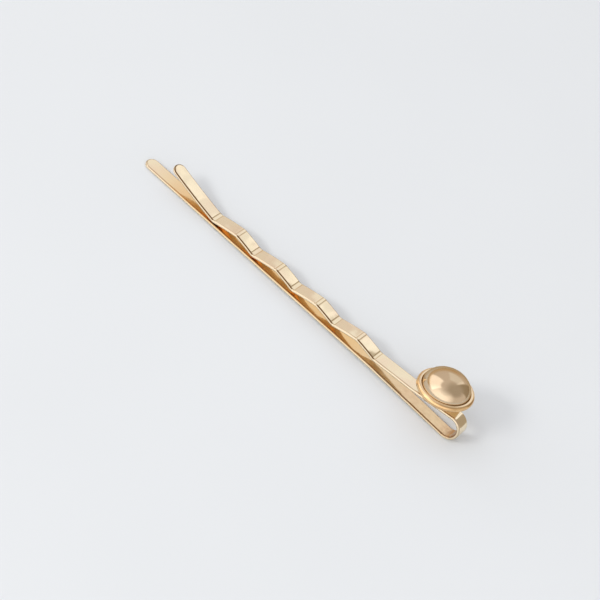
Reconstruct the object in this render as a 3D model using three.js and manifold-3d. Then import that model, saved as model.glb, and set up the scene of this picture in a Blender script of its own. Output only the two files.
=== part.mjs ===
// Hair grip: a flat spring strip folded into a straight leg and a crimped leg, with a polished dome
// in a bezel cup soldered to the crimped leg beside the bend.
// Millimetres. +X runs from the open tips to the bend, +Z is up, and the bend's underside is at z = 0.

import * as THREE from "three";
import { mergeVertices } from "three/addons/utils/BufferGeometryUtils.js";
import Module from "manifold-3d";

// Strip
const OVERALL_LENGTH = 50;
const STRIP_WIDTH = 2;
const STRIP_THICKNESS = 0.41;
const EDGE_FLAT = 0.05;
const TIP_EASE = 0.05;

// Straight leg: its last stretch dips towards the bend
const DIP_LENGTH = 11.3;
const DIP_SLOPE = THREE.MathUtils.degToRad(1.82);
const DIP_RADIUS = 60;

// Bend, measured at the middle of the strip's thickness
const BEND_RADIUS = 1.467;

// Crimped leg, measured from the bend back towards the tip
const SEAT_SLOPE = THREE.MathUtils.degToRad(8.5);
const SEAT_LENGTH = 5.7;
const PLAIN_LENGTH = 5.8;
const SHOULDER_RADIUS = 12;
const CRIMP_COUNT = 4;
const CRIMP_PITCH = 6.35;
const CRIMP_HEIGHT = 0.69;
const CRIMP_LEAD = 2.86;
const CRIMP_RADIUS = 1.2;
const LAST_GAP = 0.78;
const FIRST_GAP = 0.11;
const GAP_BOW = 0.55;
const FLARE_LENGTH = 7.8;
const FLARE_ANGLE = THREE.MathUtils.degToRad(13.7);

// Ornament, standing on the strip's seat
const CUP_FROM_BEND = 2.3;
const CUP_RADIUS = 3.53;
const CUP_HEIGHT = 2.38;
const CUP_BAND = 0.56;
const CUP_EDGE = 0.1;
const CUP_FLOOR = 0.3;
const CUP_FOOT_RADIUS = 0.8;
const SAUCER_REACH = 0.53;
const SAUCER_DROP = 0.46;
const SAUCER_INSET = 0.23;
const RIM_REACH = 0.42;
const RIM_RISE = 0.38;
const RIM_DROP = 0.08;
const DOME_GAP = 0.05;
const DOME_GIRDLE = 0.5;
const DOME_RISE = 1.98;
const CEMENT_THICKNESS = 0.14;
const SOLDER_THICKNESS = 0.12;
const SOLDER_FILLET = 0.1;

// Clearance between pieces that are fixed face to face
const SEAM = 0.02;

// Fineness of round shapes
const CORNER_STEPS = 5;
const BEND_STEPS = 16;
const EDGE_STEPS = 2;
const TIP_STEPS = 10;
const PROFILE_STEPS = 12;
const TURN_STEPS = 40;

// Materials
const goldStrip = new THREE.MeshStandardMaterial({ color: 0xf1dfc0, metalness: 1, roughness: 0.22 });
const goldCup = new THREE.MeshStandardMaterial({ color: 0xf0d3a2, metalness: 1, roughness: 0.16 });
const goldDome = new THREE.MeshStandardMaterial({ color: 0xc6b092, metalness: 1, roughness: 0.12 });
const solderAlloy = new THREE.MeshStandardMaterial({ color: 0xc9b48e, metalness: 1, roughness: 0.4 });
const clearCement = new THREE.MeshStandardMaterial({ color: 0xd9cfa8, metalness: 0, roughness: 0.3 });

// Sizes that follow from the strip's own
const halfWidth = STRIP_WIDTH / 2;
const halfThickness = STRIP_THICKNESS / 2;
const edgeRadius = halfThickness - EDGE_FLAT / 2;
const tipRadius = halfWidth + TIP_EASE;

const wasm = await Module();
wasm.setup();

// A three.js geometry as a solid that can be cut.
function toSolid(geometry) {
  const bare = geometry.clone();
  bare.deleteAttribute("normal");
  bare.deleteAttribute("uv");
  const merged = mergeVertices(bare, 1e-5);
  const vertProperties = new Float32Array(merged.attributes.position.array);
  const triVerts = new Uint32Array(merged.index.array);
  return new wasm.Manifold(new wasm.Mesh({ numProp: 3, vertProperties, triVerts }));
}

// A cut solid as a three.js geometry.
function toGeometry(solid) {
  const mesh = solid.getMesh();
  const geometry = new THREE.BufferGeometry();
  geometry.setAttribute("position", new THREE.BufferAttribute(mesh.vertProperties, 3));
  geometry.setIndex(new THREE.BufferAttribute(mesh.triVerts, 1));
  geometry.computeVertexNormals();
  return geometry;
}

// A path in the XZ plane made of stations, each a point with a heading. The sweep puts one section
// on each station, with the section's x across the strip (+Y) and its y on the left of the heading.
class StripLine extends THREE.Curve {
  constructor(stations) {
    super();
    this.stations = stations;
  }

  stationAt(u) {
    return this.stations[Math.round(u * (this.stations.length - 1))];
  }

  getPointAt(u) {
    const { x, z } = this.stationAt(u);
    return new THREE.Vector3(x, 0, z);
  }

  computeFrenetFrames() {
    const along = ({ angle }) => new THREE.Vector3(Math.cos(angle), 0, Math.sin(angle));
    const tangents = this.stations.map(along);
    const normals = tangents.map(() => new THREE.Vector3(0, 1, 0));
    const binormals = tangents.map((tangent, i) => new THREE.Vector3().crossVectors(tangent, normals[i]));
    return { tangents, normals, binormals };
  }
}

// Stations along a polyline of corners whose inner corners are rounded by their own radius.
function roundedLine(corners) {
  const heading = (from, to) => Math.atan2(to.z - from.z, to.x - from.x);
  const last = corners.length - 1;
  const stations = [{ ...corners[0], angle: heading(corners[0], corners[1]) }];
  for (let i = 1; i < last; i += 1) {
    const { x, z, radius } = corners[i];
    const before = heading(corners[i - 1], corners[i]);
    const turn = heading(corners[i], corners[i + 1]) - before;
    const cut = radius * Math.tan(Math.abs(turn) / 2);
    const reach = Math.sign(turn) * radius;
    const centreX = x - cut * Math.cos(before) - reach * Math.sin(before);
    const centreZ = z - cut * Math.sin(before) + reach * Math.cos(before);
    for (let step = 0; step <= CORNER_STEPS; step += 1) {
      const angle = before + (turn * step) / CORNER_STEPS;
      stations.push({ x: centreX + reach * Math.sin(angle), z: centreZ - reach * Math.cos(angle), angle });
    }
  }
  stations.push({ ...corners[last], angle: heading(corners[last - 1], corners[last]) });
  return stations;
}

// The strip's section: flat faces and edges rounded as on rolled flat wire.
function stripSection() {
  const inX = halfWidth - edgeRadius;
  const inY = halfThickness - edgeRadius;
  const section = new THREE.Shape();
  section.moveTo(-inX, -halfThickness);
  section.lineTo(inX, -halfThickness);
  section.absarc(inX, -inY, edgeRadius, -Math.PI / 2, 0, false);
  section.lineTo(halfWidth, inY);
  section.absarc(inX, inY, edgeRadius, 0, Math.PI / 2, false);
  section.lineTo(-inX, halfThickness);
  section.absarc(-inX, inY, edgeRadius, Math.PI / 2, Math.PI, false);
  section.lineTo(-halfWidth, -inY);
  section.absarc(-inX, -inY, edgeRadius, Math.PI, 1.5 * Math.PI, false);
  return section;
}

// The strip's section carried along stations.
function sweepStrip(stations) {
  return new THREE.ExtrudeGeometry(stripSection(), {
    steps: stations.length - 1,
    curveSegments: EDGE_STEPS,
    extrudePath: new StripLine(stations),
  });
}

// Rounds a leg's free end, as seen from above, so that it reaches back to tipX.
function roundTip(leg, tipX) {
  const centreX = tipX + tipRadius;
  const outline = new THREE.Shape();
  outline.moveTo(OVERALL_LENGTH, -tipRadius);
  outline.lineTo(OVERALL_LENGTH, tipRadius);
  outline.lineTo(centreX, tipRadius);
  outline.absarc(centreX, 0, tipRadius, Math.PI / 2, 1.5 * Math.PI, false);
  const depth = OVERALL_LENGTH;
  const trim = new THREE.ExtrudeGeometry(outline, { depth, bevelEnabled: false, curveSegments: TIP_STEPS });
  trim.translate(0, 0, -depth / 2);
  return toGeometry(toSolid(leg).intersect(toSolid(trim)));
}

// A solid turned about +Z from a closed outline of [radius, height] points.
function turned(points) {
  const profile = points.map(([radius, height]) => new THREE.Vector2(radius, height));
  const geometry = new THREE.LatheGeometry(profile, TURN_STEPS);
  geometry.rotateX(Math.PI / 2);
  return geometry;
}

// Points of a quarter ellipse from angle start to angle end, in degrees.
function ellipsePoints(centreRadius, centreHeight, reach, rise, start, end) {
  return Array.from({ length: PROFILE_STEPS + 1 }, (_, step) => {
    const angle = THREE.MathUtils.degToRad(start + ((end - start) * step) / PROFILE_STEPS);
    return [centreRadius + reach * Math.cos(angle), centreHeight + rise * Math.sin(angle)];
  });
}

// Places on the strip's middle line
const straightTipX = -OVERALL_LENGTH / 2;
const bendX = OVERALL_LENGTH / 2 - halfThickness - BEND_RADIUS;
const bendZ = halfThickness + BEND_RADIUS;
const bendTurn = Math.PI + SEAT_SLOPE + DIP_SLOPE;
const dipDirection = new THREE.Vector2(Math.cos(DIP_SLOPE), -Math.sin(DIP_SLOPE));
const dipUp = new THREE.Vector2(-dipDirection.y, dipDirection.x);
const dipEnd = new THREE.Vector2(bendX, bendZ).addScaledVector(dipUp, -BEND_RADIUS);
const knee = dipEnd.clone().addScaledVector(dipDirection, -DIP_LENGTH);
const seatDirection = new THREE.Vector2(Math.cos(SEAT_SLOPE), Math.sin(SEAT_SLOPE));
const seatUp = new THREE.Vector2(-seatDirection.y, seatDirection.x);
const seatEnd = new THREE.Vector2(bendX, bendZ).addScaledVector(seatUp, BEND_RADIUS);
const shoulder = seatEnd.clone().addScaledVector(seatDirection, -SEAT_LENGTH);
const lastValleyX = shoulder.x - PLAIN_LENGTH;
const firstValleyX = lastValleyX - CRIMP_COUNT * CRIMP_PITCH;
const flareTipX = firstValleyX - FLARE_LENGTH;

// Height of the middle line at a valley, counted from the one nearest the tip: the gaps to the
// straight leg grow from the first to the last along a slightly bowed line.
function valleyHeight(valley) {
  const share = valley / CRIMP_COUNT;
  const bowed = share * (1 - GAP_BOW) + share * share * GAP_BOW;
  const gap = FIRST_GAP + (LAST_GAP - FIRST_GAP) * bowed;
  return knee.y + gap + STRIP_THICKNESS;
}

// The straight leg, from its rounded tip to the start of the bend.
function makeStraightLeg() {
  const end = dipEnd.clone().addScaledVector(dipDirection, -SEAM);
  const corners = [
    { x: straightTipX - tipRadius, z: knee.y },
    { x: knee.x, z: knee.y, radius: DIP_RADIUS },
    { x: end.x, z: end.y },
  ];
  return roundTip(sweepStrip(roundedLine(corners)), straightTipX);
}

// The bend, a little over half a turn of the strip.
function makeSpringBend() {
  const stations = Array.from({ length: BEND_STEPS + 1 }, (_, step) => {
    const angle = (bendTurn * step) / BEND_STEPS - DIP_SLOPE;
    return {
      x: bendX + BEND_RADIUS * Math.sin(angle),
      z: bendZ - BEND_RADIUS * Math.cos(angle),
      angle,
    };
  });
  return sweepStrip(stations);
}

// The crimped leg, from its flared tip through the crimps and the seat to the bend.
function makeCrimpedLeg() {
  const overrun = FLARE_LENGTH + tipRadius;
  const corners = [{ x: firstValleyX - overrun, z: valleyHeight(0) + overrun * Math.tan(FLARE_ANGLE) }];
  for (let crimp = 0; crimp < CRIMP_COUNT; crimp += 1) {
    const valleyX = firstValleyX + crimp * CRIMP_PITCH;
    const crestZ = (valleyHeight(crimp) + valleyHeight(crimp + 1)) / 2 + CRIMP_HEIGHT;
    corners.push({ x: valleyX, z: valleyHeight(crimp), radius: CRIMP_RADIUS });
    corners.push({ x: valleyX + CRIMP_PITCH - CRIMP_LEAD, z: crestZ, radius: CRIMP_RADIUS });
  }
  corners.push({ x: lastValleyX, z: valleyHeight(CRIMP_COUNT), radius: CRIMP_RADIUS });
  corners.push({ x: shoulder.x, z: shoulder.y, radius: SHOULDER_RADIUS });
  const end = seatEnd.clone().addScaledVector(seatDirection, -SEAM);
  corners.push({ x: end.x, z: end.y });
  return roundTip(sweepStrip(roundedLine(corners)), flareTipX);
}

// Heights in the ornament, above the strip's seat, and radii about its axis
const footHeight = SOLDER_THICKNESS + 2 * SEAM;
const bandFoot = CUP_HEIGHT - CUP_BAND;
const saucerFoot = bandFoot - SAUCER_DROP;
const floorRadius = CUP_RADIUS - SAUCER_REACH;
const cavityFloor = saucerFoot + CUP_FLOOR;
const domeBack = cavityFloor + CEMENT_THICKNESS;
const domeRadius = floorRadius - DOME_GAP;

// The bezel cup: a small foot that flares out like a trumpet to a saucer with a sloping underside, a low
// upright band, and a rounded rim with a narrow lip that slopes in to the dome.
function makeBezelCup() {
  const trumpetRadius = floorRadius - SAUCER_INSET;
  const trumpetReach = trumpetRadius - CUP_FOOT_RADIUS;
  const crest = CUP_RADIUS - RIM_REACH;
  return turned([
    [0, footHeight],
    ...ellipsePoints(trumpetRadius, footHeight, trumpetReach, saucerFoot - footHeight, 180, 90),
    [CUP_RADIUS - CUP_EDGE, bandFoot],
    [CUP_RADIUS, bandFoot + CUP_EDGE],
    ...ellipsePoints(crest, CUP_HEIGHT - RIM_RISE, RIM_REACH, RIM_RISE, 0, 90),
    ...ellipsePoints(crest, CUP_HEIGHT - RIM_DROP, crest - floorRadius, RIM_DROP, 90, 180).slice(1),
    [floorRadius, cavityFloor],
    [0, cavityFloor],
  ]);
}

// The cement under the dome's flat back.
function makeAdhesiveBed() {
  const radius = domeRadius - SEAM;
  return turned([
    [0, cavityFloor + SEAM],
    [radius, cavityFloor + SEAM],
    [radius, domeBack - SEAM],
    [0, domeBack - SEAM],
  ]);
}

// The domed cabochon: a flat back, an upright girdle, and a cap that is half an ellipse.
function makeDomeCap() {
  const capFoot = domeBack + DOME_GIRDLE;
  return turned([
    [0, domeBack],
    [domeRadius, domeBack],
    ...ellipsePoints(0, capFoot, domeRadius, DOME_RISE, 0, 90).slice(0, -1),
    [0, capFoot + DOME_RISE],
  ]);
}

// The solder between the strip's seat and the cup's foot, flowed out to a small fillet.
function makeSolderJoint() {
  const top = SEAM + SOLDER_THICKNESS;
  return turned([
    [0, SEAM],
    [CUP_FOOT_RADIUS + SOLDER_FILLET, SEAM],
    [CUP_FOOT_RADIUS, top],
    [0, top],
  ]);
}

function namedMesh(name, geometry, material) {
  const mesh = new THREE.Mesh(geometry, material);
  mesh.name = name;
  return mesh;
}

// The ornament stands square on the seat.
const seat = seatEnd.clone().addScaledVector(seatDirection, -CUP_FROM_BEND);
seat.addScaledVector(seatUp, halfThickness);
const ornament = new THREE.Group();
ornament.position.set(seat.x, 0, seat.y);
ornament.rotation.y = -SEAT_SLOPE;
ornament.add(
  namedMesh("solder_joint", makeSolderJoint(), solderAlloy),
  namedMesh("bezel_cup", makeBezelCup(), goldCup),
  namedMesh("adhesive_bed", makeAdhesiveBed(), clearCement),
  namedMesh("dome_cap", makeDomeCap(), goldDome),
);

// The crimped side turns about +Y through the centroid of the bend's arc: a positive turn opens it.
const centroidReach = (2 * BEND_RADIUS * Math.sin(bendTurn / 2)) / bendTurn;
const centroidAngle = bendTurn / 2 - DIP_SLOPE;
const openingHinge = new THREE.Group();
openingHinge.position.set(
  bendX + centroidReach * Math.sin(centroidAngle),
  0,
  bendZ - centroidReach * Math.cos(centroidAngle),
);
const crimpedSide = new THREE.Group();
crimpedSide.position.copy(openingHinge.position).negate();
crimpedSide.add(namedMesh("crimped_leg", makeCrimpedLeg(), goldStrip), ornament);
openingHinge.add(crimpedSide);

const hairGrip = new THREE.Group();
hairGrip.add(
  namedMesh("straight_leg", makeStraightLeg(), goldStrip),
  namedMesh("spring_bend", makeSpringBend(), goldStrip),
  openingHinge,
);

export default hairGrip;
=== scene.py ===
# %% [markdown]
# # A gold hair grip with a domed bezel
# This lesson dresses a imported CAD part for a picture. The part is a hair grip: one flat spring
# strip folded into a straight leg and a crimped leg, and a round ornament beside the fold. The
# CAD part gives every place and every motion, and Blender gives the fine shapes and the finishes.
# The imported part is loaded first, because most new pieces are tied to one of its moving bodies.

# %% Load the imported part
import math

import bpy
import numpy as np
from mathutils import Matrix, Vector


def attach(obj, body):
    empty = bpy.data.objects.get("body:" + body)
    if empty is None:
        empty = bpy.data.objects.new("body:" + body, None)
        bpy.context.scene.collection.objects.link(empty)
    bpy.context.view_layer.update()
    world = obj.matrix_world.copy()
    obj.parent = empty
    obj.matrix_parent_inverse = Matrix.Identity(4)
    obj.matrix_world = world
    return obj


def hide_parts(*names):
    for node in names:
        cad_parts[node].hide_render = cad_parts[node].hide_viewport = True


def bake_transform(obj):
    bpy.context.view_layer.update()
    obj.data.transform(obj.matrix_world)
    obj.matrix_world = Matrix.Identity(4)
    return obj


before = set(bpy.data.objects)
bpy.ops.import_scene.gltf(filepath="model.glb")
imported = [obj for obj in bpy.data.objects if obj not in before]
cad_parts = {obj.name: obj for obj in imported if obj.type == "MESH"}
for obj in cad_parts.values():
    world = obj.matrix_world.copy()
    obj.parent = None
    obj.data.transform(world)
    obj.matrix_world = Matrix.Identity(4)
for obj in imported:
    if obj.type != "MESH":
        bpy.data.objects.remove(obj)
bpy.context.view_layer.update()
MM = 0.001
print("nodes:", sorted(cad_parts))

# %% [markdown]
# ## Skins
# Every piece here is either a strip carried along a line or a profile turned about an axis. Both
# are a grid of rings: one ring of points per station, closed around. A single function turns such
# a grid into a closed mesh. It could be done with Blender's screw and curve tools, but arrays keep
# every size in plain sight and give the same mesh on each run.

# %% A closed skin over a grid of rings
SHARP_ANGLE = math.radians(50)


def ring_faces(rings, columns):
    """Corner numbers of a grid of rings: each quad joins two neighbours on a ring with the same
    two on the next ring, and each end ring is closed by triangles to a middle point."""
    row, col = np.meshgrid(np.arange(rings - 1), np.arange(columns), indexing="ij")
    after = (col + 1) % columns
    quads = np.stack([row * columns + col, row * columns + after,
                      (row + 1) * columns + after, (row + 1) * columns + col], -1).reshape(-1, 4)
    around = np.arange(columns)
    following = (around + 1) % columns
    first, last = rings * columns, rings * columns + 1
    top = (rings - 1) * columns
    start = np.stack([np.full(columns, first), following, around], -1)
    end = np.stack([np.full(columns, last), top + around, top + following], -1)
    return quads, np.vstack([start, end])


def skin(name, grid, finish, attributes=None, poles=None):
    """A mesh over grid, an array of rings by points by x, y, z in millimetres. The two ends are
    closed at poles, or at the middle of the end rings. Six times the volume is the sum of each
    triangle's box product, and where it is negative all faces are turned round. Edges that turn by
    more than the sharp angle stay crisp."""
    rings, columns = grid.shape[:2]
    ends = np.array([grid[0].mean(0), grid[-1].mean(0)]) if poles is None else np.array(poles)
    points = np.vstack([grid.reshape(-1, 3), ends]) * MM
    quads, fans = ring_faces(rings, columns)
    triangles = np.vstack([quads[:, [0, 1, 2]], quads[:, [0, 2, 3]], fans])
    a, b, c = (points[triangles[:, i]] for i in range(3))
    if np.einsum("ij,ij->", a, np.cross(b, c)) < 0:
        quads, fans = quads[:, ::-1], fans[:, ::-1]
    mesh = bpy.data.meshes.new(name)
    mesh.from_pydata(points.tolist(), [], quads.tolist() + fans.tolist())
    mesh.polygons.foreach_set("use_smooth", np.ones(len(mesh.polygons), bool))
    mesh.set_sharp_from_angle(angle=SHARP_ANGLE)
    for key, values in (attributes or {}).items():
        layer = mesh.attributes.new(key, "FLOAT", "POINT")
        full = np.concatenate([values.reshape(-1), [values[0].mean(), values[-1].mean()]])
        layer.data.foreach_set("value", full.astype(np.float32))
    mesh.materials.append(finish)
    mesh.update()
    piece = bpy.data.objects.new(name, mesh)
    bpy.context.scene.collection.objects.link(piece)
    low, high = points.min(0) / MM, points.max(0) / MM
    print(f"{name}: {len(points)} points, box {np.round(low, 2)} to {np.round(high, 2)} mm")
    return piece


# %% [markdown]
# ## Colours and nodes
# Colours are written as sRGB hex values, as a paint chart gives them, and Blender's shaders want
# linear light, so one function converts them. A second small function adds a node, sets it up and
# links it, which keeps the recipes for the finishes short.

# %% Helpers for materials
def linear(hex_colour):
    """sRGB hex to linear red, green, blue and alpha: the low end is divided by 12.92, and the rest
    is a power of 2.4 of the value plus 0.055 over 1.055."""
    srgb = np.array([int(hex_colour[i:i + 2], 16) for i in (1, 3, 5)]) / 255
    light = np.where(srgb <= 0.04045, srgb / 12.92, ((srgb + 0.055) / 1.055) ** 2.4)
    return (*light.tolist(), 1.0)


def add(tree, kind, inputs=None, out=None, **settings):
    """Adds a node of a kind. settings are its own properties, and inputs maps a socket's name or
    number to a value, or to another node's output, which is linked. Gives back the output that out
    names or numbers, or the node itself. A Mix node's two colours are its inputs 6 and 7, and its
    mixed colour is its output 2."""
    made = tree.nodes.new(kind)
    for key, value in settings.items():
        setattr(made, key, value)
    for key, value in (inputs or {}).items():
        if isinstance(value, bpy.types.NodeSocket):
            tree.links.new(value, made.inputs[key])
        else:
            made.inputs[key].default_value = value
    return made if out is None else made.outputs[out]


def new_finish(name):
    """An empty material, with its node tree and the output of its Principled shader in place."""
    finish = bpy.data.materials.new(name)
    finish.use_nodes = True
    tree = finish.node_tree
    tree.nodes.clear()
    shader = add(tree, "ShaderNodeBsdfPrincipled")
    add(tree, "ShaderNodeOutputMaterial", {"Surface": shader.outputs["BSDF"]})
    return finish, tree, shader


# %% [markdown]
# ## The strip's finish: gold-plated spring steel
# The strip is rolled flat wire, bent, tumbled bright and then plated pale gold. Plating is a thin
# mirror, so the eye gets mostly reflections tinted champagne. What breaks them up are the faint
# lines that rolling leaves along the wire, the slight waviness of bent metal and a soft cloudiness
# from the tumbling. Some light is painted into the colour: a deeper gold between the legs stands
# for the gold that each leg reflects in the other, and patchy brown lying low on the faces between
# them is painted shade, growing towards the solder and in the loop. Painted dark lines stand for
# dark reflections along the corners, darkest on the sides that fall towards the bend, and in the
# die's creases, and a painted highlight runs along the outermost edge.

# %% Gold-plated spring steel
def plated_steel():
    """Colour drifts between three champagne tones over 5 mm and 2 mm, the painted brown shade is
    patchy over 0.7 mm, roughness varies over about 1.5 mm, and the face waves over about 2.5 mm.
    Rolling lines 0.15 mm apart run along the strip: their noise is stretched 40 times along x and z
    and follows y. The strip's own attributes say where the painted light lies."""
    finish, tree, shader = new_finish("gold_plated_spring_steel")
    place = add(tree, "ShaderNodeTexCoord", out="Object")
    drift, blush, patch, cloud, wave = (
        add(tree, "ShaderNodeTexNoise",
            {"Vector": place, "Scale": 1 / (size * MM), "Detail": detail}, "Fac")
        for size, detail in ((5, 2), (2, 2), (0.7, 2), (1.5, 4), (2.5, 1)))
    # Attributes that place painted light: a reflection between the legs, brown shade, dark corner and
    # crease lines, and an edge highlight.
    painted_inner_reflection, painted_low_shade, corner, crease, rub = (
        add(tree, "ShaderNodeAttribute", out="Fac", attribute_name=key)
        for key in ("painted_inner_reflection", "painted_low_shade", "corner", "crease", "rub"))
    rosy = add(tree, "ShaderNodeMapRange", {"Value": blush, "From Min": 0.45, "From Max": 0.7,
                                            "To Max": 0.6}, "Result")
    patchy = add(tree, "ShaderNodeMapRange", {"Value": patch, "From Min": 0.35, "From Max": 0.65,
                                              "To Min": 0.55}, "Result")
    brown = add(tree, "ShaderNodeMath", {0: patchy, 1: painted_low_shade}, 0, operation="MULTIPLY")
    # The tones after the rosy one are painted light: a reflection between the legs, brown shade, dark
    # crease and corner lines and an edge highlight.
    tone = linear("#F1DEBC")
    for share, colour in ((drift, "#F6E8CC"), (rosy, "#F2D9BF"), (painted_inner_reflection, "#EBC083"),
                          (brown, "#A87A52"), (crease, "#BD9462"), (corner, "#6F4E2A"),
                          (rub, "#F8E6C4")):
        tone = add(tree, "ShaderNodeMix", {"Factor": share, 6: tone, 7: linear(colour)}, 2,
                   data_type="RGBA")
    gloss = add(tree, "ShaderNodeMapRange", {"Value": cloud, "From Min": 0.3, "From Max": 0.7,
                                             "To Min": 0.08, "To Max": 0.16}, "Result")
    along = add(tree, "ShaderNodeMapping", {"Vector": place, "Scale": (0.025, 1.0, 0.025)}, "Vector")
    lines = add(tree, "ShaderNodeTexNoise",
                {"Vector": along, "Scale": 1 / (0.15 * MM), "Detail": 3.0}, "Fac")
    wavy = add(tree, "ShaderNodeBump",
               {"Height": wave, "Strength": 1.0, "Distance": 0.14 * MM}, "Normal")
    relief = add(tree, "ShaderNodeBump", {"Height": lines, "Strength": 0.03, "Distance": 0.012 * MM,
                                          "Normal": wavy}, "Normal")
    tree.links.new(tone, shader.inputs["Base Color"])
    tree.links.new(gloss, shader.inputs["Roughness"])
    tree.links.new(relief, shader.inputs["Normal"])
    shader.inputs["Metallic"].default_value = 1.0
    return finish


strip_gold = plated_steel()
print("finish:", strip_gold.name)

# %% [markdown]
# ## The strip's line
# Seen from the side, the wire is a line of straight stretches joined by arcs. A curve object could
# follow it, but a line that is known by its distance lets the stations be packed close where the
# shape needs it: over a rounded tip, in an arc, and at the thin marks that a bending die leaves.

# %% A line of straight stretches and arcs
def line_marks(corners, radii):
    """Where stretches and arcs meet: the distance gone, the heading and the place. An arc cuts its
    radius times the tangent of half the turn off both sides of its corner, and its chord is twice
    the radius times the sine of half the turn."""
    step = np.diff(corners, axis=0)
    heading = np.arctan2(step[:, 1], step[:, 0])
    turn = np.diff(heading)
    cut = np.array(radii) * np.tan(np.abs(turn) / 2)
    length, chord, way = (np.empty(2 * len(heading) - 1) for _ in range(3))
    length[0::2] = chord[0::2] = np.hypot(*step.T) - np.append(cut, 0) - np.insert(cut, 0, 0)
    length[1::2] = radii * np.abs(turn)
    chord[1::2] = 2 * np.array(radii) * np.sin(np.abs(turn) / 2)
    way[0::2], way[1::2] = heading, heading[:-1] + turn / 2
    place = np.cumsum(chord[:, None] * np.stack([np.cos(way), np.sin(way)], -1), axis=0)
    distance = np.insert(np.cumsum(length), 0, 0)
    return distance, np.repeat(heading, 2), corners[0] + np.insert(place, 0, 0, 0)


def along_line(marks, gone):
    """Points and headings at distances along the line. Between two marks the heading grows evenly,
    so a point lies at the end of a chord at the mean heading, as long as the distance times
    sin(u) / u of half the turn u."""
    mark, heading, place = marks
    k = np.clip(np.searchsorted(mark, gone, side="right") - 1, 0, len(mark) - 2)
    part = gone - mark[k]
    turn = (heading[k + 1] - heading[k]) / (mark[k + 1] - mark[k]) * part
    chord = part * np.sinc(turn / (2 * np.pi))
    mean = heading[k] + turn / 2
    return place[k] + chord[:, None] * np.stack([np.cos(mean), np.sin(mean)], -1), heading[k] + turn


STATION_STEP, LEAST_STEP = 0.5, 0.008
MARK_REACH, MARK_STATIONS = 0.3, 25
TIP_REACH, TIP_STATIONS = 0.85, 24


def stations(marks, tip):
    """Distances along a line: every 0.5 mm, in 24 steps over the 0.3 mm on both sides of every mark,
    and by the cosine of equal turns over a rounded tip. Stations closer than 0.008 mm are dropped. A
    strip without a tip starts slightly inside its neighbour, so no gap opens there."""
    length = marks[0][-1]
    beside = np.linspace(-MARK_REACH, MARK_REACH, MARK_STATIONS)
    gone = [np.arange(0, length, STATION_STEP), (marks[0][1:-1, None] + beside).ravel(), [length]]
    if tip:
        gone.append(TIP_REACH * (1 - np.cos(np.linspace(0.02, np.pi / 2, TIP_STATIONS))))
    gone = np.sort(np.concatenate(gone))
    first = 0.0001 if tip else -MARK_REACH
    gone = gone[(gone > first) & (gone <= length)]
    return gone[np.diff(gone, append=2 * length) > LEAST_STEP]


# %% [markdown]
# ## The strip's section
# The wire is 2 mm wide and 0.41 mm thick with rolled, rounded edges, and each free tip is rounded
# as seen from above. A box with a bevel would do for the body, but not for the tips, where the
# rounded edge has to run round the end. So the thickness is a function of the distance from the
# outline, and the same formula serves the sides and the tips.

# %% The strip carried along a line
WIDTH, THICK = 2.0, 0.41
EDGE_REACH, EDGE_STEPS, FLAT_STEPS = 0.21, 13, 6
DENT_DEPTH, DENT_REACH = 0.1, 0.06


def edge_steps():
    """Places across the strip from -1 to 1: close together in the rounded edges and 2 % beyond,
    where they go by the cosine of equal turns, and wide apart on the flat."""
    turn = np.linspace(0, np.pi / 2, EDGE_STEPS)
    inset = (1 - np.cos(turn)) * EDGE_REACH * 1.02 / (WIDTH / 2)
    edge = np.concatenate([inset, np.linspace(inset[-1], 1, FLAT_STEPS)[1:]]) - 1
    return np.concatenate([edge, -edge[-2::-1]])


def ramp(values, start, end):
    """0 up to start, 1 from end, and smooth between: three squares less two cubes."""
    share = np.clip((values - start) / (end - start), 0, 1)
    return share ** 2 * (3 - 2 * share)


def strip_tones(line, heading, near, hidden, dent):
    """How much of each tone the points take. line and heading are the middle line's points and
    headings, near is 1 at the outermost edge and 0 on the flat, hidden is 1 on a face that looks at
    the other leg, and dent is 1 in a crease. The painted reflection of each leg in the other runs from
    the first valley to the plain stretch. Painted brown shade grows towards the solder and again in
    the loop, and lies low. The painted dark corner lines are darker where the strip falls towards the
    bend, and a painted highlight runs along the outermost edge. Places are in millimetres."""
    x, z = line[:, :1], line[:, 1:]
    close = ramp(x, -26, -16) * (1 - 0.6 * ramp(x, 7, 14))
    # Painted brown shade on the faces between the legs: more towards the solder and again in the loop,
    # and low.
    shade_amount = 0.3 * ramp(x, 6, 18) + 0.45 * ramp(x, 22.5, 24)
    # Painted dark lines on the corners stand for dark reflections; they are darker where the strip
    # falls.
    steep = 0.4 + 0.55 * ramp(-heading[:, None], 0.0, 0.06)
    # A painted highlight along the outermost edge.
    return {"rub": ramp(near, 0.85, 1),
            "corner": steep * ramp(near, 0.05, 0.3) * (1 - ramp(near, 0.8, 0.97)),
            # Painted dark lines in the die's creases stand for shade.
            "crease": 0.45 * np.clip(dent, 0, 1) * (1 - ramp(near, 0.3, 0.8)),
            "painted_low_shade": hidden * shade_amount * (1 - ramp(z, 0.8, 2.4)),
            # A painted deeper gold stands for each leg's reflection in the other.
            "painted_inner_reflection": 0.85 * close * hidden}


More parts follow.
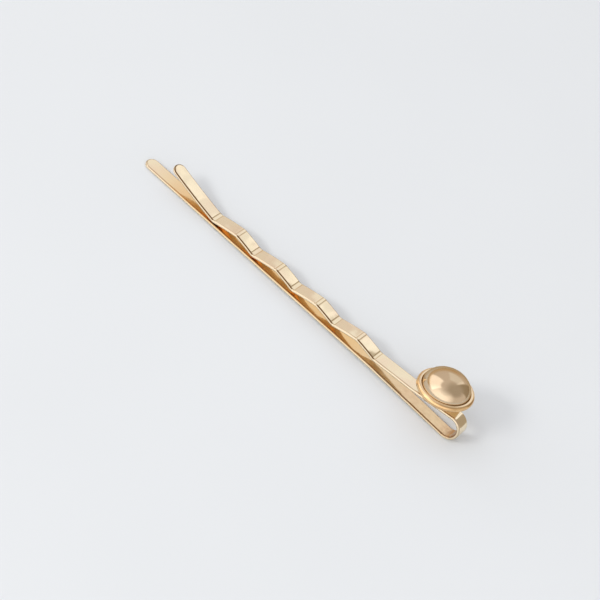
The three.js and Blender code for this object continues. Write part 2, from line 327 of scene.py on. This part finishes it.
def strip_skin(name, marks, inside, tip=False, dents=()):
    """The strip carried along a line. At a place across the strip at distance d from its outline,
    half the thickness is the full half times the square root of 1 - (1 - d / edge) squared, and the
    full half further in. A tip's outline is half an ellipse. A dent thins the strip by a tenth over
    about 0.1 mm. inside is 1 where the upper face looks at the other leg, and -1 where the lower
    one does."""
    gone = stations(marks, tip)
    line, heading = along_line(marks, gone)
    across = edge_steps()
    left = np.clip(1 - gone / TIP_REACH, 0, 1) if tip else np.zeros(len(gone))
    half = WIDTH / 2 * np.sqrt(np.clip(1 - left ** 2, 0, 1))
    y = half[:, None] * across[None, :]
    within = 1 - np.sqrt(left[:, None] ** 2 + (y / (WIDTH / 2)) ** 2)
    near = np.clip(1 - within * (WIDTH / 2) / EDGE_REACH, 0, 1)
    rise = THICK / 2 * np.sqrt(np.clip(1 - near ** 2, 0, 1))
    dent = np.exp(-((gone[:, None] - np.reshape(dents, (1, -1))) / DENT_REACH) ** 2).sum(1)[:, None]
    rise = rise * (1 - DENT_DEPTH * dent)
    y = np.concatenate([y, y[:, -2:0:-1]], 1)
    rise = np.concatenate([rise, -rise[:, -2:0:-1]], 1)
    near = np.concatenate([near, near[:, -2:0:-1]], 1)
    grid = np.stack([line[:, :1] - rise * np.sin(heading)[:, None], y,
                     line[:, 1:] + rise * np.cos(heading)[:, None]], -1)
    hidden = ramp(inside * rise / THICK, -0.1, 0.4)
    return skin(name, grid, strip_gold, strip_tones(line, heading, near, hidden, dent))


# %% [markdown]
# ### The straight leg and the bend
# The straight leg lies flat, dips a little before the bend and carries it. The bend is the spring
# itself. The straight leg rides on its body. The bend is one wire with both legs, and it is built in
# place, tied to neither leg's body.

# %% The straight leg and the bend
LENGTH = 50.0
BEND_RADIUS, BEND_MARKS = 1.467, 49
SEAT_SLOPE, DIP_SLOPE = math.radians(8.5), math.radians(1.82)
DIP, DIP_RADIUS = 11.3, 60.0
bend_x = LENGTH / 2 - THICK / 2 - BEND_RADIUS
bend_z = THICK / 2 + BEND_RADIUS
bend_middle = np.array([bend_x, bend_z])
dip_way = np.array([math.cos(DIP_SLOPE), -math.sin(DIP_SLOPE)])
dip_end = bend_middle - BEND_RADIUS * np.array([-dip_way[1], dip_way[0]])
knee = dip_end - DIP * dip_way

straight_line = line_marks(np.array([(-LENGTH / 2, knee[1]), knee, dip_end]), [DIP_RADIUS])
straight = strip_skin("straight_leg_skin", straight_line, inside=1, tip=True)
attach(straight, "straight_side")
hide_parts("straight_leg")

turns = np.linspace(-DIP_SLOPE, math.pi + SEAT_SLOPE, BEND_MARKS)
around = bend_middle + BEND_RADIUS * np.stack([np.sin(turns), -np.cos(turns)], -1)
bend_line = (BEND_RADIUS * (turns - turns[0]), turns, around)
bend = strip_skin("spring_bend_skin", bend_line, inside=1)
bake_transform(bend)
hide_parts("spring_bend")

# %% [markdown]
# ### The crimped leg
# Four presses of a die leave the waves that grip hair: a gentle rise, a steeper fall and a small
# radius at each turn, with a fine crease where the die's edge bit at both ends of the radius. The
# tip flares up so that hair slips in, and curls a little more towards its end. The line is written
# as corners, and each corner is replaced by an arc that touches both sides of it.

# %% The crimped leg
CRIMPS, PITCH, HEIGHT, LEAD = 4, 6.35, 0.69, 2.86
CRIMP_RADIUS, SHOULDER_RADIUS = 1.2, 12.0
SEAT, PLAIN = 5.7, 5.8
FLARE, FLARE_ANGLE = 7.8, math.radians(13.7)
FLARE_SAG, FLARE_RADIUS = 0.14, 100.0
FIRST_GAP, LAST_GAP, GAP_BOW = 0.11, 0.78, 0.55
FLANK_BOW, FLANK_RADIUS = 0.06, 24.0


def valley_height(share):
    """The middle line's height at a valley: the straight leg's, the strip's thickness, and a gap
    that grows along a slightly bowed line."""
    bowed = share * (1 - GAP_BOW) + share ** 2 * GAP_BOW
    return knee[1] + THICK + FIRST_GAP + (LAST_GAP - FIRST_GAP) * bowed


seat_way = np.array([math.cos(SEAT_SLOPE), math.sin(SEAT_SLOPE)])
seat_up = np.array([-seat_way[1], seat_way[0]])
seat_end = bend_middle + BEND_RADIUS * seat_up
shoulder = seat_end - SEAT * seat_way
valley_x = shoulder[0] - PLAIN - PITCH * np.arange(CRIMPS, -1, -1)
valley_z = valley_height(np.arange(CRIMPS + 1) / CRIMPS)
corners = np.empty((2 * CRIMPS + 1, 2))
corners[0::2] = np.stack([valley_x, valley_z], -1)
corners[1::2] = np.stack([valley_x[1:] - LEAD, (valley_z[:-1] + valley_z[1:]) / 2 + HEIGHT], -1)
flare_tip = corners[0] + FLARE * np.array([-1, math.tan(FLARE_ANGLE)])
flare_middle = (flare_tip + corners[0]) / 2 - [0, FLARE_SAG]
bowed = np.empty((2 * len(corners) - 1, 2))
bowed[0::2] = corners
bowed[1::2] = (corners[:-1] + corners[1:]) / 2 + [0, FLANK_BOW]
bends = np.where(np.arange(len(bowed)) % 2 == 0, CRIMP_RADIUS, FLANK_RADIUS)
crimped_line = line_marks(np.vstack([flare_tip, flare_middle, bowed, shoulder, seat_end]),
                          np.concatenate([[FLARE_RADIUS], bends, [SHOULDER_RADIUS]]))
# An arc has a mark at both ends. The flare's arc comes first, then crimps and flanks take turns.
die_marks = crimped_line[0][3:2 * len(bowed) + 3].reshape(-1, 2)[0::2].ravel()
crimped = strip_skin("crimped_leg_skin", crimped_line, inside=-1, tip=True, dents=die_marks)
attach(crimped, "crimped_side")
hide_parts("crimped_leg")

# %% [markdown]
# ## The ornament
# A pressed brass cup stands on a small foot soldered to the strip, and a polished dome is cemented
# into it. All four pieces are turned shapes on one axis, square to the seat. A profile of radius
# and height is carried round that axis.

# %% Turning a profile about the ornament's axis
CUP_FROM_BEND = 2.3
seat_point = seat_end - CUP_FROM_BEND * seat_way + THICK / 2 * seat_up
AROUND = 128


def turned(name, profile, finish, **shares):
    """A profile of radius, height points turned about the seat's axis: the across direction is
    radius times cosine and sine of the turn, and the height goes along the axis. The profile
    starts and ends on the axis, and those two points are the poles. shares are attributes that
    give a number for every point of the profile."""
    angle = np.linspace(0, 2 * np.pi, AROUND, endpoint=False)
    radius, height = profile[1:-1, :1], profile[1:-1, 1:]
    along, side = radius * np.cos(angle), radius * np.sin(angle)
    up = np.repeat(height, AROUND, 1)
    grid = np.stack([seat_point[0] + along * seat_way[0] + up * seat_up[0], side,
                     seat_point[1] + along * seat_way[1] + up * seat_up[1]], -1)
    poles = [(seat_point[0] + h * seat_up[0], 0, seat_point[1] + h * seat_up[1])
             for h in (profile[0, 1], profile[-1, 1])]
    around = {key: np.repeat(values[1:-1, None], AROUND, 1) for key, values in shares.items()}
    return skin(name, grid, finish, around, poles)


def bow(centre, reach, rise, start, end, count=13):
    """Points of an arc of an ellipse about a centre, from a start to an end angle in degrees."""
    angle = np.radians(np.linspace(start, end, count))
    return np.stack([centre[0] + reach * np.cos(angle), centre[1] + rise * np.sin(angle)], -1)


# %% [markdown]
# ### The cup's finish: gold-plated brass
# The cup was pressed from brass sheet, tumbled and plated in a yellower gold than the strip. It
# reads as a deeper yellow, with soft ripples from the pressing. A pale highlight is painted on the
# crest of the rim and inside it, a dark line of painted shade lies in the seam round the dome, and
# brown tarnish clouds the wall.

# %% Gold-plated brass
def plated_brass():
    """Colour drifts over about 3 mm, tarnish clouds are about 1.4 mm wide, and shallow ripples about
    1.2 mm wide bend the reflections. The cup's own attributes say where the painted highlight on the
    crest and the painted shade in the seam are."""
    finish, tree, shader = new_finish("gold_plated_brass")
    place = add(tree, "ShaderNodeTexCoord", out="Object")
    drift, smoke, ripple, cloud = (
        add(tree, "ShaderNodeTexNoise",
            {"Vector": place, "Scale": 1 / (size * MM), "Detail": detail}, "Fac")
        for size, detail in ((3, 2), (1.4, 3), (1.2, 1), (0.8, 3)))
    dull = add(tree, "ShaderNodeMapRange", {"Value": smoke, "From Min": 0.42, "From Max": 0.7,
                                            "To Max": 0.6}, "Result")
    # The rim's painted highlight and the seam's painted shade, placed by the cup's attributes.
    rub, seam = (add(tree, "ShaderNodeAttribute", out="Fac", attribute_name=key)
                 for key in ("rub", "seam"))
    tone = linear("#E6BE89")
    # The pale tone is a painted highlight, and the dark brown is painted shade in the seam.
    for share, colour in ((drift, "#ECCB9A"), (dull, "#C09263"), (rub, "#F3DDBD"),
                          (seam, "#80572F")):
        tone = add(tree, "ShaderNodeMix", {"Factor": share, 6: tone, 7: linear(colour)}, 2,
                   data_type="RGBA")
    relief = add(tree, "ShaderNodeBump",
                 {"Height": ripple, "Strength": 0.25, "Distance": 0.05 * MM}, "Normal")
    gloss = add(tree, "ShaderNodeMapRange", {"Value": cloud, "From Min": 0.3, "From Max": 0.7,
                                             "To Min": 0.06, "To Max": 0.13}, "Result")
    tree.links.new(tone, shader.inputs["Base Color"])
    tree.links.new(gloss, shader.inputs["Roughness"])
    tree.links.new(relief, shader.inputs["Normal"])
    shader.inputs["Metallic"].default_value = 1.0
    return finish


cup_gold = plated_brass()
print("finish:", cup_gold.name)

# %% [markdown]
# ### The cup
# A trumpet of a foot spreads into a shallow saucer. Its rim is rolled over to a round shoulder, and
# its short lip is pressed down onto the dome, which is how a bezel holds what it carries, so no gap
# shows between the two. A fine brown line of painted shade runs along that seam, and a highlight is
# painted on the rim's crest and inside the rim. The profile runs from the foot up the wall, over the
# rim and down to the floor inside.

# %% The cup
CUP_RADIUS, CUP_HEIGHT, CUP_BAND = 3.53, 2.38, 0.56
CUP_FLOOR, CUP_EDGE = 0.3, 0.1
SAUCER_REACH, SAUCER_DROP, SAUCER_INSET = 0.53, 0.46, 0.23
FOOT_RADIUS, FOOT_HEIGHT, FOOT_EDGE = 0.8, 0.16, 0.03
RIM_REACH, RIM_RISE, RIM_DROP = 0.42, 0.38, 0.08
LIP_GAP, LIP_EDGE, SEAM_START, SEAM_END = 0.01, 0.08, 0.02, 0.08
BOWL_END, RIM_STEPS = -35, 31
CEMENT, GIRDLE, DOME_GAP, DOME_RISE = 0.14, 0.5, 0.05, 1.98
band_foot = CUP_HEIGHT - CUP_BAND
saucer_foot = band_foot - SAUCER_DROP
floor_radius = CUP_RADIUS - SAUCER_REACH
cavity_floor = saucer_foot + CUP_FLOOR
trumpet_radius = floor_radius - SAUCER_INSET
bowl_reach = (CUP_RADIUS - CUP_EDGE - trumpet_radius) / math.cos(math.radians(BOWL_END))
bowl_rise = SAUCER_DROP / (1 + math.sin(math.radians(BOWL_END)))

dome_back, dome_radius = cavity_floor + CEMENT, floor_radius - DOME_GAP
lip_height, crest = CUP_HEIGHT - RIM_DROP, CUP_RADIUS - RIM_REACH
lip_radius = dome_radius + LIP_GAP

wall = np.concatenate([
    [(0, FOOT_HEIGHT), (FOOT_RADIUS - FOOT_EDGE, FOOT_HEIGHT)],
    bow((trumpet_radius, FOOT_HEIGHT + FOOT_EDGE), trumpet_radius - FOOT_RADIUS,
        saucer_foot - FOOT_HEIGHT - FOOT_EDGE, 180, 92, 21),
    bow((trumpet_radius, saucer_foot + bowl_rise), bowl_reach, bowl_rise, -90, BOWL_END),
    bow((CUP_RADIUS - CUP_EDGE, band_foot + CUP_EDGE), CUP_EDGE, CUP_EDGE, -55, 0, 9),
])
rim = bow((crest, CUP_HEIGHT - RIM_RISE), RIM_REACH, RIM_RISE, 0, 90, RIM_STEPS)
inside = np.concatenate([
    bow((crest, lip_height), crest - lip_radius, RIM_DROP, 95, 180, 25),
    [(floor_radius, lip_height - LIP_EDGE), (floor_radius, cavity_floor), (0, cavity_floor)],
])
# Painted shade: a dark line where the lip meets the dome.
seam = 0.8 * (1 - ramp(inside[:, 0], lip_radius + SEAM_START, lip_radius + SEAM_END))
# A painted highlight on the top of the rim's crest and inside the rim.
rub = ramp(np.linspace(0, 90, RIM_STEPS), 50, 85)
cup = turned("bezel_cup_skin", np.concatenate([wall, rim, inside]), cup_gold,
             seam=np.concatenate([np.zeros(len(wall) + len(rim)), seam]),
             rub=np.concatenate([np.zeros(len(wall)), rub, inside[:, 0] > lip_radius]))
print(f"the lip meets the dome at radius {lip_radius:.2f} and height {lip_height:.2f} mm")
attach(cup, "crimped_side")
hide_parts("bezel_cup")

# %% [markdown]
# ### The dome's finish: mirror-polished champagne plating
# The dome is the one mirror on the grip. Its plating is a browner, rosier champagne than the strip,
# and it shows the room clearly, only slightly softened by the polishing cloth.

# %% Polished champagne dome
def polished_champagne():
    """Colour drifts over about 2.5 mm, and a faint orange-peel about 0.9 mm wide bends the
    reflections."""
    finish, tree, shader = new_finish("polished_champagne_plating")
    place = add(tree, "ShaderNodeTexCoord", out="Object")
    drift, peel, cloud = (
        add(tree, "ShaderNodeTexNoise",
            {"Vector": place, "Scale": 1 / (size * MM), "Detail": detail}, "Fac")
        for size, detail in ((2.5, 2), (0.9, 1), (0.6, 3)))
    tone = add(tree, "ShaderNodeMix",
               {"Factor": drift, 6: linear("#D0B99A"), 7: linear("#DAC4A6")}, 2, data_type="RGBA")
    relief = add(tree, "ShaderNodeBump",
                 {"Height": peel, "Strength": 0.1, "Distance": 0.03 * MM}, "Normal")
    gloss = add(tree, "ShaderNodeMapRange", {"Value": cloud, "From Min": 0.3, "From Max": 0.7,
                                             "To Min": 0.08, "To Max": 0.14}, "Result")
    tree.links.new(tone, shader.inputs["Base Color"])
    tree.links.new(gloss, shader.inputs["Roughness"])
    tree.links.new(relief, shader.inputs["Normal"])
    shader.inputs["Metallic"].default_value = 1.0
    shader.inputs["Specular Tint"].default_value = linear("#CFB798")
    return finish


dome_gold = polished_champagne()
print("finish:", dome_gold.name)

# %% [markdown]
# ### The dome
# A cabochon has a flat back, a low upright girdle that the bezel grips, and a rounded cap. A scaled
# half ball would do for the cap, but one profile keeps the girdle and the cap together.

# %% The dome
BACK_EDGE = 0.05
dome_profile = np.concatenate([
    [(0, dome_back), (dome_radius - BACK_EDGE, dome_back), (dome_radius, dome_back + BACK_EDGE)],
    bow((0, dome_back + GIRDLE), dome_radius, DOME_RISE, 0, 89.5, 64),
    [(0, dome_back + GIRDLE + DOME_RISE)],
])
print(f"the dome is {2 * dome_radius:.2f} mm wide and {GIRDLE + DOME_RISE:.2f} mm high")
dome = turned("dome_cap_skin", dome_profile, dome_gold)
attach(dome, "crimped_side")
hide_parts("dome_cap")

# %% [markdown]
# ### The cement and the solder
# Clear cement lies between the cup's floor and the dome's flat back. Solder joins the cup's foot to
# the strip, and flows out into a small hollow fillet. Both are hardly seen, but they close the gaps
# that would otherwise let light through.

# %% Set cement and flowed solder
def set_cement():
    """Yellowish clear cement: glossy, with a cloudy tone that drifts over about 1 mm."""
    finish, tree, shader = new_finish("clear_cement")
    place = add(tree, "ShaderNodeTexCoord", out="Object")
    drift = add(tree, "ShaderNodeTexNoise",
                {"Vector": place, "Scale": 1 / (1 * MM), "Detail": 3.0}, "Fac")
    tone = add(tree, "ShaderNodeMix",
               {"Factor": drift, 6: linear("#A98C5C"), 7: linear("#CDB98C")}, 2, data_type="RGBA")
    tree.links.new(tone, shader.inputs["Base Color"])
    shader.inputs["Roughness"].default_value = 0.28
    return finish


def flowed_solder():
    """Solder under the plating: a paler, duller gold with lumps about 0.4 mm wide."""
    finish, tree, shader = new_finish("plated_solder")
    place = add(tree, "ShaderNodeTexCoord", out="Object")
    lumps = add(tree, "ShaderNodeTexNoise",
                {"Vector": place, "Scale": 1 / (0.4 * MM), "Detail": 2.0}, "Fac")
    tone = add(tree, "ShaderNodeMix",
               {"Factor": lumps, 6: linear("#C3A677"), 7: linear("#DCC69C")}, 2, data_type="RGBA")
    relief = add(tree, "ShaderNodeBump",
                 {"Height": lumps, "Strength": 0.4, "Distance": 0.05 * MM}, "Normal")
    tree.links.new(tone, shader.inputs["Base Color"])
    tree.links.new(relief, shader.inputs["Normal"])
    shader.inputs["Metallic"].default_value = 1.0
    shader.inputs["Roughness"].default_value = 0.34
    return finish


# %% The cement and the solder
SEAM, CEMENT_EDGE = 0.02, 0.03
cement_radius = dome_radius - SEAM
cement_profile = np.array([
    (0, cavity_floor + SEAM), (cement_radius - CEMENT_EDGE, cavity_floor + SEAM),
    (cement_radius, cavity_floor + 0.05), (cement_radius, dome_back - 0.04),
    (cement_radius - CEMENT_EDGE, dome_back - SEAM), (0, dome_back - SEAM),
])
cement = turned("adhesive_bed_skin", cement_profile, set_cement())
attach(cement, "crimped_side")
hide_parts("adhesive_bed")

SOLDER, FILLET = 0.12, 0.1
solder_profile = np.concatenate([
    [(0, SEAM)],
    bow((FOOT_RADIUS + FILLET, SOLDER + SEAM), FILLET, SOLDER, -90, -180, 9),
    [(0, SOLDER + SEAM)],
])
solder = turned("solder_joint_skin", solder_profile, flowed_solder())
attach(solder, "crimped_side")
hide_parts("solder_joint")

# %% [markdown]
# ## The studio
# The grip lies on a wide sheet of pale, matt paper, which keeps its shadow. A grip that lies on a
# table touches it with the bend and with the straight leg's tip, so the sheet leans by less than half
# a degree to meet both. The grip could be turned instead, but it stays in the CAD part's own frame.

# %% The floor
def pale_paper():
    """Matt pale paper: a cool off-white with a very slight cloudiness about 30 mm wide."""
    finish, tree, shader = new_finish("pale_paper")
    place = add(tree, "ShaderNodeTexCoord", out="Object")
    drift = add(tree, "ShaderNodeTexNoise",
                {"Vector": place, "Scale": 1 / (30 * MM), "Detail": 1.0}, "Fac")
    tone = add(tree, "ShaderNodeMix",
               {"Factor": drift, 6: linear("#DAE0E6"), 7: linear("#DDE3E9")}, 2, data_type="RGBA")
    tree.links.new(tone, shader.inputs["Base Color"])
    shader.inputs["Roughness"].default_value = 0.85
    shader.inputs["Specular IOR Level"].default_value = 0.2
    return finish


FLOOR_HALF, FLOOR_GAP = 5000.0, 0.01
tilt = (knee[1] - THICK / 2) / (bend_x + LENGTH / 2)
corner_x = np.array([-1, 1, 1, -1]) * FLOOR_HALF
corner_y = np.array([-1, -1, 1, 1]) * FLOOR_HALF
corner_z = (bend_x - corner_x) * tilt - FLOOR_GAP
mesh = bpy.data.meshes.new("floor")
mesh.from_pydata((np.stack([corner_x, corner_y, corner_z], -1) * MM).tolist(), [], [(0, 1, 2, 3)])
mesh.materials.append(pale_paper())
floor = bpy.data.objects.new("floor", mesh)
bpy.context.scene.collection.objects.link(floor)
print(f"floor leans by {math.degrees(tilt):.2f} degrees, under the bend and the tip")

# %% [markdown]
# ### The room
# Metal shows what is around it, so the room matters as much as the metal: a pale wall behind with a
# bright streak, a warmer wall beside it, a doorway in shade, a large window at the side of the tips, a
# low bright part in front and a darker ceiling. All of it could be modelled and lit. Painting it into
# the world by direction gives the same mirror images and is quicker to render.

# %% The world
world = bpy.data.worlds.new("studio")
bpy.context.scene.world = world
world.use_nodes = True
tree = world.node_tree
tree.nodes.clear()
way = add(tree, "ShaderNodeTexCoord", out="Generated")


def toward(azimuth, elevation):
    """The direction at an azimuth, counted from +X to +Y, and an elevation, in degrees."""
    turn, lift = math.radians(azimuth), math.radians(elevation)
    return Vector((math.cos(turn) * math.cos(lift), math.sin(turn) * math.cos(lift), math.sin(lift)))


def zone(direction, wide, narrow):
    """1 within the narrow angle of a direction and 0 beyond the wide angle, in degrees."""
    facing = add(tree, "ShaderNodeVectorMath", {0: way, 1: direction}, "Value", operation="DOT_PRODUCT")
    return add(tree, "ShaderNodeMapRange",
               {"Value": facing, "From Min": math.cos(math.radians(wide)),
                "From Max": math.cos(math.radians(narrow))}, "Result", interpolation_type="SMOOTHSTEP")


def near_zero(angle, half, ease):
    """1 where an angle is nearer to 0 than half, and 0 where it is further than half and the ease.
    The angle is in radians, and half and ease are in degrees."""
    size = add(tree, "ShaderNodeMath", {0: angle}, 0, operation="ABSOLUTE")
    return add(tree, "ShaderNodeMapRange", {"Value": size, "From Min": math.radians(half + ease),
                                            "From Max": math.radians(half)}, "Result",
               interpolation_type="SMOOTHSTEP")


def panel(azimuth, elevation, half_wide, half_high, ease):
    """1 inside an upright panel, as seen from the grip, by degrees. The angle across is the arc
    tangent of the sideways over the forward part of the direction, and the angle up is the arc
    sine of its height."""
    ahead, aside = (add(tree, "ShaderNodeVectorMath", {0: way, 1: toward(turn, 0)}, "Value",
                        operation="DOT_PRODUCT") for turn in (azimuth, azimuth + 90))
    height = add(tree, "ShaderNodeSeparateXYZ", {0: way}, "Z")
    across = add(tree, "ShaderNodeMath", {0: aside, 1: ahead}, 0, operation="ARCTAN2")
    lift = add(tree, "ShaderNodeMath", {0: height}, 0, operation="ARCSINE")
    up = add(tree, "ShaderNodeMath", {0: lift, 1: math.radians(elevation)}, 0, operation="SUBTRACT")
    in_width, in_height = near_zero(across, half_wide, ease), near_zero(up, half_high, ease)
    return add(tree, "ShaderNodeMath", {0: in_width, 1: in_height}, 0, operation="MULTIPLY")


pale_wall, side_wall = panel(98.5, 41, 18.5, 14, 4), panel(150, 2, 45, 10, 14)
dark_door = panel(58, 30, 17, 34, 5)
ceiling, ceiling_front = zone(toward(20, 66), 42, 14), zone(toward(-78, 58), 26, 5)
sky = linear("#ECE5E0")
for share, colour in ((pale_wall, "#FFFFFF"), (side_wall, "#E2CFB4"), (dark_door, "#B4A998"),
                      (ceiling, "#C6BFB6"), (ceiling_front, "#BEB6AD")):
    sky = add(tree, "ShaderNodeMix", {"Factor": share, 6: sky, 7: linear(colour)}, 2, data_type="RGBA")
light = add(tree, "ShaderNodeBackground", {"Color": sky, "Strength": 0.95}, 0)
window, streak = panel(194, 38, 33, 21, 7), panel(81.5, 41, 2, 14, 4)
front = zone(toward(-88, 12), 72, 14)
for share, strength in ((window, 0.8), (front, 0.9), (streak, 0.2)):
    level = add(tree, "ShaderNodeMath", {0: share, 1: strength}, 0, operation="MULTIPLY")
    glow = add(tree, "ShaderNodeBackground", {"Color": linear("#F4F8FF"), "Strength": level}, 0)
    light = add(tree, "ShaderNodeAddShader", {0: light, 1: glow}, 0)
add(tree, "ShaderNodeOutputWorld", {"Surface": light})
print("world:", world.name)

# %% [markdown]
# ### The lamp
# One soft lamp, in front and a little towards the tips, casts the grip's shadow. It is kept out of
# the mirror images, because the painted room already has the bright parts that the metal shows.

# %% The lamp
def soft_lamp(name, direction, distance, size, power, colour):
    """A panel of light at a distance along a direction, facing the grip. It casts the shadows, and
    metal mirrors the world's own panes instead of it."""
    lamp = bpy.data.lights.new(name, "AREA")
    lamp.shape = "RECTANGLE"
    lamp.size, lamp.size_y = size
    lamp.energy = power
    lamp.color = linear(colour)[:3]
    holder = bpy.data.objects.new(name, lamp)
    holder.location = direction * distance
    holder.rotation_euler = (-direction).to_track_quat("-Z", "Y").to_euler()
    holder.visible_glossy = False
    bpy.context.scene.collection.objects.link(holder)
    return holder


key_lamp = soft_lamp("key_lamp", toward(-113.5, 29.5), 0.8, (0.22, 0.12), 2.4, "#FFFBF5")
print("lamp:", key_lamp.name)

# %% [markdown]
# ## The camera
# The camera stands in front of the grip and to its right, and looks down at it by about 40 degrees
# with a long lens, so that the two legs stay nearly parallel in the picture.

# %% The camera
right = Vector((0.72836057, 0.55175577, 0.40627141))
down = Vector((0.65573845, -0.38932283, -0.64686539))
away = Vector((-0.19874097, 0.73755902, -0.64537486))
camera_place = Vector((55.465, -205.021, 179.674)) * MM
camera_data = bpy.data.cameras.new("camera")
camera_data.sensor_width = 36.0
camera_data.lens = 141.761
camera_data.clip_start, camera_data.clip_end = 0.01, 10.0
camera = bpy.data.objects.new("camera", camera_data)
bpy.context.scene.collection.objects.link(camera)
camera.matrix_world = (Matrix.Translation(camera_place)
                       @ Matrix((right, -down, -away)).transposed().to_4x4())
bpy.context.scene.camera = camera
bpy.context.scene.view_settings.view_transform = "Standard"
print(f"camera: {camera_data.lens:.1f} mm lens, {camera_place.length:.3f} m from the origin")
